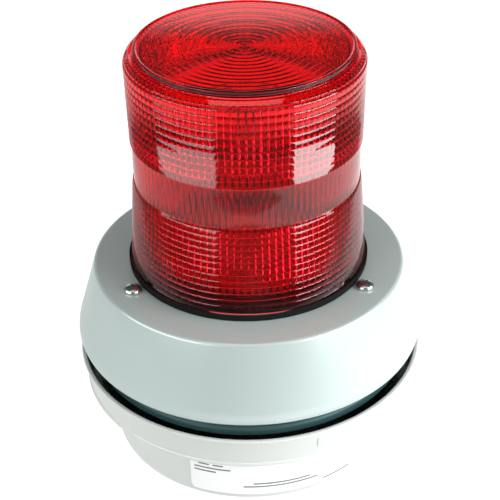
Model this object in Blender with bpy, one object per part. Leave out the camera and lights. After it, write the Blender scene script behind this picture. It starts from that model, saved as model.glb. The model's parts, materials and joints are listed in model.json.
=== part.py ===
"""Horn strobe: a Fresnel-lensed xenon beacon standing on a round vibrating horn.

Lengths below are in millimetres and become metres as each mesh is made. Z is up, the Z axis is the
object's axis of symmetry, the front faces -Y, and the origin is the centre of the base's underside.
"""

import math

import bmesh
import bpy
from mathutils import Matrix, Vector

MM = 0.001
GAP = 0.3

# heights of the main seats
FLOOR_Z = 0.8
CUP_TOP_Z = 36.0
FLANGE_FLOOR_Z = 39.5
RIM_TOP_Z = 52.8
FLARE_UNDER_Z, FLARE_TOP_Z = 60.0, 61.2
LIP_Z = 64.0
CANOPY_TOP_Z = 101.0
LENS_FOOT_Z = 102.4
LENS_TOP_Z = 213.0

# radii of the main turnings
CUP_R = 71.0
RIM_R = 86.0
CANOPY_FLAT_R = 73.6
CANOPY_MAX_R = 86.2
CANOPY_BORE_R = 46.5
FLARE_R = 79.6
LENS_FOOT_R = 57.9
LENS_DISC_R = 50.4

# screws through the canopy, their bosses and spacers
SCREW_CIRCLE_R = 63.5
SCREW_ANGLES = (-150, -30, 90)
SCREW_HEAD_R, SCREW_HEAD_H = 4.3, 2.7
SCREW_SHANK_R, SCREW_HOLE_R = 2.0, 2.3
SCREW_TIP_Z = 24.0
BOSS_R = 4.6

# conduit hub in the cup's floor
HUB_BORE_R, HUB_R, HUB_TOP_Z = 10.8, 15.0, 9.0
GASKET_R = (44.0, 60.0)
GASKET_TOP_Z = 2.0

# horn
DECK_Z = (39.8, 41.8)
DECK_R, DECK_BORE_R = 80.5, 30.0
SEAT_R = (40.0, 56.0)
SEAT_Z = (42.1, 44.5, 45.7)
DIAPHRAGM_R, DIAPHRAGM_Z = 50.0, (45.0, 45.5)
CLAMP_Z = (46.0, 48.5)
CLAMP_SCREW_R, CLAMP_SCREW_ANGLES = 53.2, (75, 165, 255, 345)
BRACKET_SCREW_X = 36.0
SMALL_SCREW = {"head_r": 2.7, "head_h": 1.8, "shank_r": 1.5}
SMALL_HOLE_R = 1.8
CORE_W, CORE_D, CORE_Z = 52.0, 16.0, (18.0, 38.5)
ARMATURE_Z = (40.0, 43.0, 44.7)
BLOCK_Y, ADJUSTER_HOLE_R = -36.0, 2.0

# strobe head
TRAY_R, TRAY_Z = 45.8, (80.0, 101.3, 103.3)
BOARD_R, BOARD_Z = 42.0, (86.0, 87.6)
BOARD_SCREW_R, BOARD_SCREW_ANGLES, BOARD_HOLE_R = 36.0, (75, 195, 315), 1.5
PLATE_Z = (103.6, 109.0)
SOCKET_R, SOCKET_TOP_Z = 12.0, 114.0
TUBE_R, TUBE_HALF_W, TUBE_LEG_Z = 3.0, 7.0, 150.0

# wiring
WIRE_ANGLE, WIRE_R = 30, 62.0
WIRE_TUBE_R, WIRE_TUBE_BORE_R, WIRE_TUBE_Z = 5.0, 3.8, (42.1, 63.5)
LEAD_R, LEAD_SPREAD, LEAD_TOP_Z = 1.0, 1.5, 91.0

# facets round big, middling and small turnings
BIG, MIDDLE, SMALL = 40, 28, 10


def clear_scene():
    for ob in list(bpy.data.objects):
        bpy.data.objects.remove(ob, do_unlink=True)


def material(name, colour, metallic=0.0, roughness=0.5, transmission=0.0, ior=1.45):
    mat = bpy.data.materials.get(name)
    if mat:
        return mat
    mat = bpy.data.materials.new(name)
    mat.use_nodes = True
    shader = mat.node_tree.nodes["Principled BSDF"]
    shader.inputs["Base Color"].default_value = (*colour, 1.0)
    shader.inputs["Metallic"].default_value = metallic
    shader.inputs["Roughness"].default_value = roughness
    shader.inputs["Transmission Weight"].default_value = transmission
    shader.inputs["IOR"].default_value = ior
    mat.diffuse_color = (*colour, 1.0)
    return mat


def on_circle(radius, degrees, z=0.0):
    turn = math.radians(degrees)
    return Vector((radius * math.cos(turn), radius * math.sin(turn), z))


def arc(centre_r, centre_z, radius, start, end, steps):
    """Points of a round corner, from start to end degrees."""
    turns = [math.radians(start + (end - start) * i / steps) for i in range(steps + 1)]
    return [(centre_r + radius * math.cos(t), centre_z + radius * math.sin(t)) for t in turns]


def turned(profile, segments):
    """A closed turning of the (radius, height) profile round Z."""
    bm = bmesh.new()
    rings = []
    for r, z in profile:
        if r < 1e-6:
            rings.append([bm.verts.new((0.0, 0.0, z))])
        else:
            rings.append([bm.verts.new(on_circle(r, 360.0 * i / segments, z)) for i in range(segments)])
    for low, high in zip(rings, rings[1:] + rings[:1]):
        if len(low) == 1 and len(high) == 1:
            continue
        for i in range(segments):
            j = (i + 1) % segments
            corners = [low[i % len(low)], low[j % len(low)], high[j % len(high)], high[i % len(high)]]
            bm.faces.new(list(dict.fromkeys(corners)))
    return bm


def ring(inner, outer, low, high, segments=BIG):
    return turned([(inner, low), (outer, low), (outer, high), (inner, high)], segments)


def rod(radius, low, high, segments=SMALL, at=(0.0, 0.0)):
    bm = turned([(0.0, low), (radius, low), (radius, high), (0.0, high)], segments)
    bmesh.ops.translate(bm, vec=(*at, 0.0), verts=bm.verts)
    return bm


def prism(outline, low, high):
    """The (x, y) outline raised from low to high."""
    bm = bmesh.new()
    bottom = [bm.verts.new((x, y, low)) for x, y in outline]
    top = [bm.verts.new((x, y, high)) for x, y in outline]
    bm.faces.new(bottom)
    bm.faces.new(top)
    for i in range(len(outline)):
        j = (i + 1) % len(outline)
        bm.faces.new((bottom[i], bottom[j], top[j], top[i]))
    return bm


def box(x, y, z):
    return prism([(x[0], y[0]), (x[1], y[0]), (x[1], y[1]), (x[0], y[1])], *z)


def standing(bm):
    """Stands a prism drawn in (x, height) upright, its depth along Y."""
    bmesh.ops.rotate(bm, matrix=Matrix.Rotation(math.radians(90), 3, "X"), verts=bm.verts)
    return bm


def spun(bm, degrees, out=0.0):
    """Moves the mesh out along X, then turns it about Z."""
    bmesh.ops.translate(bm, vec=(out, 0.0, 0.0), verts=bm.verts)
    bmesh.ops.rotate(bm, matrix=Matrix.Rotation(math.radians(degrees), 3, "Z"), verts=bm.verts)
    return bm


def swept(path, radius, sides):
    """A round wire along the path, closed at both ends."""
    bm = bmesh.new()
    points = [Vector(p) for p in path]
    ways = [(b - a).normalized() for a, b in zip(points, points[1:])]
    side = ways[0].orthogonal().normalized()
    loops = []
    for i, point in enumerate(points):
        way = (ways[max(i - 1, 0)] + ways[min(i, len(ways) - 1)]).normalized()
        side = (side - way * side.dot(way)).normalized()
        across = way.cross(side)
        turns = [2 * math.pi * k / sides for k in range(sides)]
        arms = [side * math.cos(t) + across * math.sin(t) for t in turns]
        loops.append([bm.verts.new(point + radius * arm) for arm in arms])
    for a, b in zip(loops, loops[1:]):
        for k in range(sides):
            m = (k + 1) % sides
            bm.faces.new((a[k], a[m], b[m], b[k]))
    bm.faces.new(loops[0])
    bm.faces.new(loops[-1])
    return bm


def joined(meshes):
    """Several separate meshes in one, for a cutter."""
    whole = bmesh.new()
    for bm in meshes:
        bmesh.ops.recalc_face_normals(bm, faces=bm.faces)
        piece = bpy.data.meshes.new("piece")
        bm.to_mesh(piece)
        bm.free()
        whole.from_mesh(piece)
        bpy.data.meshes.remove(piece)
    return whole


def add(name, bm, mat, origin=(0.0, 0.0, 0.0)):
    """Links the mesh as a named part, its origin at the given point."""
    bmesh.ops.recalc_face_normals(bm, faces=bm.faces)
    bmesh.ops.translate(bm, vec=-Vector(origin), verts=bm.verts)
    bmesh.ops.scale(bm, vec=(MM, MM, MM), verts=bm.verts)
    mesh = bpy.data.meshes.new(name)
    bm.to_mesh(mesh)
    bm.free()
    mesh.polygons.foreach_set("use_smooth", [True] * len(mesh.polygons))
    mesh.set_sharp_from_angle(angle=math.radians(35))
    if mat:
        mesh.materials.append(mat)
    ob = bpy.data.objects.new(name, mesh)
    ob.location = Vector(origin) * MM
    bpy.context.scene.collection.objects.link(ob)
    return ob


def shape(ob, meshes, operation="DIFFERENCE"):
    """Cuts the meshes from a part, or joins them to it."""
    tool = add(f"{ob.name}_{operation.lower()}", joined(meshes), None)
    tool.hide_render = True
    tool.display_type = "WIRE"
    modifier = ob.modifiers.new(operation.title(), "BOOLEAN")
    modifier.operation = operation
    modifier.object = tool
    modifier.solver = "EXACT"


def holes(circle_r, angles, hole_r, low, high, segments=SMALL):
    return [spun(rod(hole_r, low, high, segments), a, circle_r) for a in angles]


def pan_screw(name, at, seat_z, tip_z, head_r, head_h, shank_r, mat, segments=SMALL, down=1, cross=True):
    """A pan-head screw pointing down, or up where down is -1. Its head bears at seat_z."""
    top = seat_z + down * head_h
    profile = [
        (0.0, tip_z),
        (shank_r * 0.6, tip_z),
        (shank_r, tip_z + down * shank_r * 0.6),
        (shank_r, seat_z),
        (head_r, seat_z),
        (head_r, seat_z + down * head_h * 0.45),
        (head_r * 0.72, seat_z + down * head_h * 0.88),
        (0.0, top),
    ]
    bm = turned(profile, segments)
    bmesh.ops.translate(bm, vec=(at[0], at[1], 0.0), verts=bm.verts)
    screw = add(name, bm, mat, (at[0], at[1], seat_z))
    if cross:
        half, arm = head_r * 0.12, head_r * 0.55
        depth = sorted((top - down * head_h * 0.5, top + down * head_h))
        arms = [(-arm, -half), (-half, -half), (-half, -arm), (half, -arm), (half, -half), (arm, -half),
                (arm, half), (half, half), (half, arm), (-half, arm), (-half, half), (-arm, half)]
        shape(screw, [prism([(at[0] + x, at[1] + y) for x, y in arms], *depth)])
    return screw


def enamel():
    return material("grey_enamel", (0.62, 0.65, 0.64), 0.1, 0.35)


def steel():
    return material("zinc_steel", (0.62, 0.62, 0.60), 1.0, 0.32)


def black_plastic():
    return material("black_plastic", (0.02, 0.02, 0.022), 0.0, 0.45)


def build_base_housing():
    profile = [(HUB_BORE_R, FLOOR_Z), (GASKET_R[0], FLOOR_Z), (GASKET_R[0], GASKET_TOP_Z + GAP)]
    profile += [(GASKET_R[1], GASKET_TOP_Z + GAP), (GASKET_R[1], FLOOR_Z)]
    profile += arc(CUP_R - 6.2, 6.3, 5.5, -90, 0, 3)
    profile += [(CUP_R, 34.8), (CUP_R + 0.5, CUP_TOP_Z), (83.0, CUP_TOP_Z)]
    profile += [(84.0, 36.4), (84.0, 37.4), (83.5, 37.9)]
    profile += [(85.2, RIM_TOP_Z - 1.9), (RIM_R, RIM_TOP_Z - 1.4), (RIM_R, RIM_TOP_Z - 0.5)]
    profile += [(85.5, RIM_TOP_Z), (84.2, RIM_TOP_Z), (83.8, RIM_TOP_Z - 0.6), (82.0, 40.6)]
    profile += [(81.2, FLANGE_FLOOR_Z), (67.2, FLANGE_FLOOR_Z), (66.0, 8.5), (62.0, 4.3)]
    profile += [(HUB_R, 4.3), (HUB_R, HUB_TOP_Z), (HUB_BORE_R, HUB_TOP_Z)]
    base = add("base_housing", turned(profile, BIG), material("white_enamel", (0.80, 0.81, 0.78), 0.0, 0.35))
    shape(base, holes(SCREW_CIRCLE_R, SCREW_ANGLES, BOSS_R, 3.0, FLANGE_FLOOR_Z - 0.2, 12), "UNION")
    cuts = holes(SCREW_CIRCLE_R, SCREW_ANGLES, SCREW_HOLE_R, SCREW_TIP_Z - 2.0, FLANGE_FLOOR_Z + 1.0)
    cuts += [rod(2.1, 2.8, 6.0, SMALL, (-25.0, -25.0))]
    shape(base, cuts)


def build_mount_gasket():
    rubber = material("black_rubber", (0.015, 0.015, 0.015), 0.0, 0.8)
    add("mount_gasket", ring(GASKET_R[0] + GAP, GASKET_R[1] - GAP, 0.0, GASKET_TOP_Z), rubber)


def build_label():
    """A blank self-adhesive plate following the cup's taper."""
    start, end, steps = -115.0, -44.0, 14
    low, high, thick = 9.0, 33.5, 0.25
    inner_low, inner_high = CUP_R - 0.65 + GAP, CUP_R + GAP
    bm = bmesh.new()
    columns = []
    for i in range(steps + 1):
        a = start + (end - start) * i / steps
        outer = ((inner_low + thick, low), (inner_high + thick, high))
        corners = ((inner_low, low), *outer, (inner_high, high))
        columns.append([bm.verts.new(on_circle(r, a, z)) for r, z in corners])
    for one, two in zip(columns, columns[1:]):
        for k in range(4):
            m = (k + 1) % 4
            bm.faces.new((one[k], one[m], two[m], two[k]))
    bm.faces.new(columns[0])
    bm.faces.new(columns[-1])
    add("blank_label", bm, material("label_film", (0.9, 0.9, 0.88), 0.0, 0.4))


def build_canopy():
    profile = [(CANOPY_BORE_R, 98.0), (CANOPY_BORE_R, CANOPY_TOP_Z)]
    profile += arc(CANOPY_FLAT_R, CANOPY_TOP_Z - 1.9, 1.9, 90, 15, 2)
    profile += [(80.7, 84.0), (85.4, 70.0), (CANOPY_MAX_R, LIP_Z + 3.0), (86.0, LIP_Z + 1.6)]
    profile += [(85.4, LIP_Z + 0.4), (84.7, LIP_Z), (83.6, LIP_Z + 0.2), (83.6, LIP_Z + 2.8)]
    profile += [(82.9, 70.0), (78.3, 83.5), (73.4, 97.0), (72.4, 98.0)]
    canopy = add("canopy", turned(profile, BIG), enamel())
    shape(canopy, holes(SCREW_CIRCLE_R, SCREW_ANGLES, BOSS_R, FLARE_TOP_Z + 0.6, 99.5, 12), "UNION")
    shape(canopy, holes(SCREW_CIRCLE_R, SCREW_ANGLES, SCREW_HOLE_R, 60.0, CANOPY_TOP_Z + 1.0))


def build_canopy_screws():
    for i, angle in enumerate(SCREW_ANGLES, 1):
        at = on_circle(SCREW_CIRCLE_R, angle)
        pan_screw(f"canopy_screw_{i}", at, CANOPY_TOP_Z + GAP, SCREW_TIP_Z, SCREW_HEAD_R, SCREW_HEAD_H,
                  SCREW_SHANK_R, steel(), 12)


def build_horn_flare():
    outer = [(0.0, FLARE_TOP_Z), (70.0, FLARE_TOP_Z), (74.6, 60.4), (77.2, 58.2), (FLARE_R, 55.0)]
    bead = arc(FLARE_R - 0.7, 51.9, 0.9, 20, -200, 4)
    inner = [(FLARE_R - 1.3, 54.8), (76.1, 57.6), (74.0, 59.3), (69.8, FLARE_UNDER_Z), (0.0, FLARE_UNDER_Z)]
    dark = material("flare_enamel", (0.25, 0.30, 0.31), 0.3, 0.25)
    flare = add("horn_flare", turned(outer + bead + inner, BIG), dark)
    low, high = FLARE_UNDER_Z - 2.0, FLARE_TOP_Z + 2.0
    cuts = holes(SCREW_CIRCLE_R, SCREW_ANGLES, SCREW_HOLE_R, low, high)
    cuts += holes(WIRE_R, (WIRE_ANGLE,), WIRE_TUBE_R + GAP, low, high, 16)
    shape(flare, cuts)


def build_spacers():
    for i, angle in enumerate(SCREW_ANGLES, 1):
        tube = ring(SCREW_HOLE_R, BOSS_R, DECK_Z[1] + GAP, FLARE_UNDER_Z - GAP, 12)
        at = on_circle(SCREW_CIRCLE_R, angle, DECK_Z[1])
        add(f"spacer_{i}", spun(tube, angle, SCREW_CIRCLE_R), steel(), at)


def build_horn_deck():
    deck = add("horn_deck", ring(DECK_BORE_R, DECK_R, *DECK_Z), steel())
    low, high = DECK_Z[0] - 1.0, DECK_Z[1] + 1.0
    cuts = holes(SCREW_CIRCLE_R, SCREW_ANGLES, SCREW_HOLE_R, low, high)
    cuts += holes(WIRE_R, (WIRE_ANGLE,), WIRE_TUBE_BORE_R, low, high, 16)
    cuts += holes(CLAMP_SCREW_R, CLAMP_SCREW_ANGLES, SMALL_HOLE_R, low, high)
    cuts += holes(BRACKET_SCREW_X, (0, 180), SMALL_HOLE_R, low, high)
    shape(deck, cuts)


def build_diaphragm_stack():
    lip = DIAPHRAGM_R + 0.6
    seat = [(SEAT_R[0], SEAT_Z[0]), (SEAT_R[1], SEAT_Z[0]), (SEAT_R[1], SEAT_Z[2]), (lip, SEAT_Z[2])]
    seat += [(lip, SEAT_Z[1]), (SEAT_R[0], SEAT_Z[1])]
    bored = {
        "diaphragm_seat": turned(seat, MIDDLE),
        "clamp_ring": ring(*SEAT_R, *CLAMP_Z, MIDDLE),
    }
    for name, bm in bored.items():
        cuts = holes(CLAMP_SCREW_R, CLAMP_SCREW_ANGLES, SMALL_HOLE_R, SEAT_Z[0] - 1.0, CLAMP_Z[1] + 1.0)
        shape(add(name, bm, steel()), cuts)
    for i, angle in enumerate(CLAMP_SCREW_ANGLES, 1):
        at = on_circle(CLAMP_SCREW_R, angle)
        seat, tip = CLAMP_Z[1] + GAP, DECK_Z[0] - 1.0
        pan_screw(f"clamp_screw_{i}", at, seat, tip, mat=steel(), cross=False, **SMALL_SCREW)
    sheet = [(0.0, DIAPHRAGM_Z[0]), (DIAPHRAGM_R, DIAPHRAGM_Z[0]), (DIAPHRAGM_R, DIAPHRAGM_Z[1])]
    sheet += [(0.0, DIAPHRAGM_Z[1])]
    stainless = material("diaphragm_steel", (0.70, 0.70, 0.70), 1.0, 0.22)
    add("diaphragm", turned(sheet, MIDDLE), stainless, (0.0, 0.0, DIAPHRAGM_Z[0]))


def build_armature():
    """A soft-iron bar over the core's three poles, with a stem up to the diaphragm."""
    half = CORE_W / 2
    outline = [(-half, ARMATURE_Z[0]), (half, ARMATURE_Z[0]), (half, ARMATURE_Z[1]), (4.0, ARMATURE_Z[1])]
    outline += [(4.0, ARMATURE_Z[2]), (-4.0, ARMATURE_Z[2]), (-4.0, ARMATURE_Z[1]), (-half, ARMATURE_Z[1])]
    iron = material("soft_iron", (0.32, 0.32, 0.33), 1.0, 0.45)
    add("armature", standing(prism(outline, -6.0, 6.0)), iron, (0.0, 0.0, ARMATURE_Z[0]))


def build_magnet():
    half, leg, pole = CORE_W / 2, 8.0, 6.0
    low, high = CORE_Z
    yoke = low + 7.0
    outline = [(-half, low), (half, low), (half, high), (half - leg, high), (half - leg, yoke)]
    outline += [(pole, yoke), (pole, high), (-pole, high), (-pole, yoke)]
    outline += [(leg - half, yoke), (leg - half, high), (-half, high)]
    lamination = material("laminations", (0.20, 0.20, 0.21), 1.0, 0.5)
    add("magnet_core", standing(prism(outline, -CORE_D / 2, CORE_D / 2)), lamination)
    coil = box((-17.5, 17.5), (-19.5, 19.5), (yoke + GAP, high - 2.0))
    winding = add("coil", coil, material("copper_winding", (0.55, 0.22, 0.10), 0.8, 0.4))
    reach_x, reach_y = pole + GAP, CORE_D / 2 + GAP
    shape(winding, [box((-reach_x, reach_x), (-reach_y, reach_y), (yoke - 1.0, high + 1.0))])


def build_core_bracket():
    """A strap under the core whose feet are screwed up to the deck."""
    inner, sheet, foot = CORE_W / 2 + GAP, 1.8, 43.0
    top, low = DECK_Z[0] - GAP, CORE_Z[0] - GAP
    outline = [(-inner, low), (inner, low), (inner, top - 0.2), (foot, top - 0.2), (foot, top - sheet)]
    outline += [(inner + sheet, top - sheet), (inner + sheet, low - sheet), (-inner - sheet, low - sheet)]
    outline += [(-inner - sheet, top - sheet), (-foot, top - sheet), (-foot, top - 0.2), (-inner, top - 0.2)]
    bracket = add("core_bracket", standing(prism(outline, -6.5, 6.5)), steel())
    shape(bracket, holes(BRACKET_SCREW_X, (0, 180), SMALL_HOLE_R, top - 4.0, top + 1.0))
    seat, tip = top - sheet - GAP, DECK_Z[1] + 1.8
    for i, x in enumerate((BRACKET_SCREW_X, -BRACKET_SCREW_X), 1):
        name = f"bracket_screw_{i}"
        pan_screw(name, (x, 0.0), seat, tip, mat=steel(), down=-1, cross=False, **SMALL_SCREW)


def build_contacts():
    block = box((-8.0, 8.0), (BLOCK_Y - 5.0, BLOCK_Y + 5.0), (30.0, DECK_Z[0] - GAP))
    phenolic = material("phenolic", (0.22, 0.10, 0.05), 0.0, 0.5)
    leaf = box((-3.0, 3.0), (BLOCK_Y - 4.5, -22.5), (29.2, 29.7))
    spring_bronze = material("spring_bronze", (0.75, 0.48, 0.20), 1.0, 0.3)
    for ob in (add("contact_block", block, phenolic), add("contact_spring", leaf, spring_bronze)):
        shape(ob, [rod(ADJUSTER_HOLE_R, 28.0, DECK_Z[0] + 1.0, SMALL, (0.0, BLOCK_Y))])
    brass = material("brass", (0.75, 0.55, 0.22), 1.0, 0.3)
    pan_screw("adjust_screw", (0.0, BLOCK_Y), 28.6, 39.0, 3.4, 2.2, 1.7, brass, 12, down=-1)


def build_tray():
    low, seat, top = TRAY_Z
    profile = [(0.0, low), (TRAY_R, low), (TRAY_R, seat), (51.5, seat), (51.5, top), (TRAY_R - 2.0, top)]
    profile += [(TRAY_R - 2.0, low + 2.0), (0.0, low + 2.0)]
    tray = add("strobe_tray", turned(profile, MIDDLE), black_plastic())
    shape(tray, holes(BOARD_SCREW_R, BOARD_SCREW_ANGLES, 3.5, low + 1.0, BOARD_Z[0] - GAP), "UNION")
    way_in = standing(rod(4.0, -8.0, 8.0, 16))
    bmesh.ops.translate(way_in, vec=(0.0, 0.0, LEAD_TOP_Z), verts=way_in.verts)
    cuts = [spun(spun(way_in, 90), WIRE_ANGLE, TRAY_R)]
    cuts += holes(BOARD_SCREW_R, BOARD_SCREW_ANGLES, BOARD_HOLE_R, low + 1.5, BOARD_Z[0])
    shape(tray, cuts)


def build_board():
    fibreglass = material("fibreglass", (0.05, 0.22, 0.08), 0.0, 0.4)
    board = add("strobe_board", rod(BOARD_R, *BOARD_Z, MIDDLE), fibreglass)
    low, high = BOARD_Z[0] - 1.0, BOARD_Z[1] + 1.0
    shape(board, holes(BOARD_SCREW_R, BOARD_SCREW_ANGLES, BOARD_HOLE_R, low, high))
    for i, angle in enumerate(BOARD_SCREW_ANGLES, 1):
        pan_screw(f"board_screw_{i}", on_circle(BOARD_SCREW_R, angle), BOARD_Z[1] + GAP, 82.4, 2.5, 1.6, 1.2,
                  steel(), 10, cross=False)


def build_board_parts():
    seat = BOARD_Z[1] + GAP
    can = turned([(0.0, -17.0), (7.0, -17.0), (7.0, 16.0), (6.2, 17.0), (0.0, 17.0)], 16)
    bmesh.ops.rotate(can, matrix=Matrix.Rotation(math.radians(90), 3, "Y"), verts=can.verts)
    bmesh.ops.translate(can, vec=(-4.0, -24.0, seat + 7.1), verts=can.verts)
    add("capacitor", can, material("capacitor_sleeve", (0.04, 0.06, 0.20), 0.0, 0.35))
    varnish = material("transformer_varnish", (0.30, 0.22, 0.10), 0.2, 0.4)
    add("transformer", box((-31.0, -13.0), (9.0, 23.0), (seat, seat + 13.0)), varnish)
    epoxy = material("coil_epoxy", (0.65, 0.55, 0.10), 0.0, 0.35)
    add("trigger_coil", rod(5.0, seat, seat + 12.0, SMALL, (21.0, -8.0)), epoxy)
    terminal = spun(box((-4.0, 4.0), (-6.0, 6.0), (seat, seat + 8.0)), WIRE_ANGLE, 27.0)
    add("board_terminal", terminal, material("terminal_green", (0.05, 0.35, 0.15), 0.0, 0.4))


def build_tube_plate():
    """A dished black plate that closes the tray round the tube's socket."""
    low, high = PLATE_Z
    sheet = 1.2
    profile = [(13.0, high), (16.0, high), (42.0, low + sheet), (51.0, low + sheet)]
    profile += [(51.0, low), (42.0, low), (16.0, high - sheet), (13.0, high - sheet)]
    add("tube_plate", turned(profile, MIDDLE), black_plastic())


def build_flash_tube():
    seat = BOARD_Z[1] + GAP
    ceramic = material("steatite", (0.85, 0.83, 0.76), 0.0, 0.5)
    socket = [(0.0, seat), (SOCKET_R, seat), (SOCKET_R, SOCKET_TOP_Z - 1.0), (SOCKET_R - 1.0, SOCKET_TOP_Z)]
    add("tube_socket", turned(socket + [(0.0, SOCKET_TOP_Z)], 24), ceramic)
    foot = SOCKET_TOP_Z + GAP
    path = [(-TUBE_HALF_W, 0.0, foot)]
    for i in range(9):
        turn = math.radians(180 - 22.5 * i)
        path.append((TUBE_HALF_W * math.cos(turn), 0.0, TUBE_LEG_Z + TUBE_HALF_W * math.sin(turn)))
    path.append((TUBE_HALF_W, 0.0, foot))
    glass = material("quartz_glass", (0.95, 0.97, 1.0), 0.0, 0.03, 1.0)
    add("flash_tube", swept(path, TUBE_R, 10), glass)


def build_lens_gasket():
    rubber = material("black_rubber", (0.015, 0.015, 0.015), 0.0, 0.8)
    add("lens_gasket", ring(53.0, 57.4, CANOPY_TOP_Z + GAP, LENS_FOOT_Z - GAP), rubber)


def build_lens():
    """The dome. Its ribbed walls narrow to a plain band, and its top is a raised disc in a groove."""
    outer = [(54.8, LENS_FOOT_Z), (LENS_FOOT_R, LENS_FOOT_Z), (LENS_FOOT_R, 104.5), (57.3, 105.2)]
    outer += [(56.1, 125.0), (54.9, 146.6), (53.7, 147.4), (53.5, 157.5), (53.7, 167.6), (54.4, 168.4)]
    outer += [(54.9, 186.0), (55.3, 203.5), (55.0, 207.0), (53.8, 209.2), (51.9, 210.2), (50.9, 210.2)]
    outer += [(LENS_DISC_R, 212.5), (49.9, LENS_TOP_Z), (47.8, LENS_TOP_Z), (47.0, 212.2), (0.0, 212.2)]
    inner = [(0.0, 209.2), (48.0, 209.0), (51.2, 206.5), (52.2, 203.0), (51.6, 169.5), (50.5, 166.5)]
    inner += [(50.5, 148.5), (51.9, 145.5), (54.2, 107.0)]
    red = material("red_polycarbonate", (0.75, 0.01, 0.015), 0.0, 0.08, 0.9, 1.58)
    add("lens", turned(outer + inner, BIG), red, (0.0, 0.0, LENS_FOOT_Z))


def build_terminals():
    block = spun(box((-3.4, 7.0), (-15.0, 15.0), (27.0, DECK_Z[0] - GAP)), WIRE_ANGLE, 44.5)
    add("terminal_block", block, black_plastic())
    for i, along in enumerate((-9.0, 0.0, 9.0), 1):
        at = Matrix.Rotation(math.radians(WIRE_ANGLE), 3, "Z") @ Vector((46.3, along, 0.0))
        head = turned([(0.0, 26.7), (2.6, 26.7), (2.6, 25.6), (2.0, 25.0), (0.0, 25.0)], SMALL)
        bmesh.ops.translate(head, vec=(at[0], at[1], 0.0), verts=head.verts)
        add(f"terminal_screw_{i}", head, steel())


def build_leads():
    """Two leads from the terminal block, up the wire tube and into the strobe tray."""
    tube = [(WIRE_TUBE_BORE_R, WIRE_TUBE_Z[0]), (WIRE_TUBE_R, WIRE_TUBE_Z[0]), (WIRE_TUBE_R, WIRE_TUBE_Z[1])]
    tube += [(WIRE_TUBE_BORE_R, WIRE_TUBE_Z[1])]
    nylon = material("nylon", (0.75, 0.73, 0.66), 0.0, 0.5)
    add("wire_tube", spun(turned(tube, 12), WIRE_ANGLE, WIRE_R), nylon)
    way = [(51.9, 33.0), (56.0, 33.0), (59.6, 34.2), (61.6, 36.6), (WIRE_R, 40.0), (WIRE_R, 62.0)]
    way += [(61.5, 68.0), (60.0, 76.0), (57.0, 85.0), (54.0, 89.5), (50.0, LEAD_TOP_Z), (31.4, LEAD_TOP_Z)]
    turn = Matrix.Rotation(math.radians(WIRE_ANGLE), 3, "Z")
    red, black = (0.6, 0.02, 0.02), (0.03, 0.03, 0.03)
    for name, side, colour in (("lead_line", 1, red), ("lead_neutral", -1, black)):
        path = [turn @ Vector((out, side * LEAD_SPREAD, z)) for out, z in way]
        add(name, swept(path, LEAD_R, 6), material(name + "_sleeve", colour, 0.0, 0.45))


def build_ground_screw():
    green = material("green_screw", (0.05, 0.30, 0.08), 0.6, 0.4)
    pan_screw("ground_screw", (-25.0, -25.0), 4.6, 3.0, 4.0, 2.4, 1.8, green, SMALL)


def main():
    clear_scene()
    for build in (
        build_base_housing, build_mount_gasket, build_label, build_canopy, build_canopy_screws,
        build_horn_flare, build_spacers, build_horn_deck, build_diaphragm_stack, build_armature,
        build_magnet, build_core_bracket, build_contacts, build_tray, build_board, build_board_parts,
        build_tube_plate, build_flash_tube, build_lens_gasket, build_lens, build_terminals, build_leads,
        build_ground_screw,
    ):
        build()


main()
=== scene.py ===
"""Looks of the horn strobe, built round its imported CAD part.

The Z axis is the object's axis of symmetry and the front faces -Y. Profiles are given in millimetres as
(radius, height) points, and the sizes they start from are read from the CAD nodes.
"""

import json
import math

import bmesh
import bpy
from mathutils import Matrix, Vector


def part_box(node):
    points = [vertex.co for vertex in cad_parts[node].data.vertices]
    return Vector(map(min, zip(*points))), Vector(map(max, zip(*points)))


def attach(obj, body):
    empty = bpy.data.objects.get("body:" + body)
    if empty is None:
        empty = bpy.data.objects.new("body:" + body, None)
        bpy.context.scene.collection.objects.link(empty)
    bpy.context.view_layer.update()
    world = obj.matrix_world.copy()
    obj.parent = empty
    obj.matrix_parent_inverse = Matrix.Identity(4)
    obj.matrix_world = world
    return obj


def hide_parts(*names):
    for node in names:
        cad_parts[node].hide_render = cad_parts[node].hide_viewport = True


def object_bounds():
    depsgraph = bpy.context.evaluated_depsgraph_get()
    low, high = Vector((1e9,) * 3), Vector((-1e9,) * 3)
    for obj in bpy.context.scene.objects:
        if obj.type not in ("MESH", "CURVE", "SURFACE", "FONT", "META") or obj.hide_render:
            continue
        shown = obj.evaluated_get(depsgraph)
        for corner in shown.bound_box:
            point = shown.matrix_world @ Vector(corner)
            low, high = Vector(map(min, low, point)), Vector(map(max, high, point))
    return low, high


MM = 0.001

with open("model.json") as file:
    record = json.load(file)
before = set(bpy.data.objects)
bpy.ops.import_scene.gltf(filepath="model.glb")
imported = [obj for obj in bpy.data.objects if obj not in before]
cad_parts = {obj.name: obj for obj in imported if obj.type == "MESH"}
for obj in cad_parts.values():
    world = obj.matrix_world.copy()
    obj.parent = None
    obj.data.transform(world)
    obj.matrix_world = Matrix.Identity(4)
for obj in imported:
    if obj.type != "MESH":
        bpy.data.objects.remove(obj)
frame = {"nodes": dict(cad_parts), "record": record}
CAD_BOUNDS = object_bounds()


def node_mm(node):
    """(radius, lowest height, highest height) of a CAD turning, in millimetres."""
    low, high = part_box(node)
    return max(high.x, -low.x) / MM, low.z / MM, high.z / MM


LENS_R, LENS_LOW, LENS_TOP = node_mm("lens")
CANOPY_R, CANOPY_LIP, CANOPY_TOP = node_mm("canopy")
BASE_R, BASE_LOW, BASE_TOP = node_mm("base_housing")
FLARE_R, FLARE_LOW, FLARE_TOP = node_mm("horn_flare")
GASKET_R, GASKET_LOW, GASKET_TOP = node_mm("lens_gasket")

# facets round the big turnings
ROUND = 256

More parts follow.
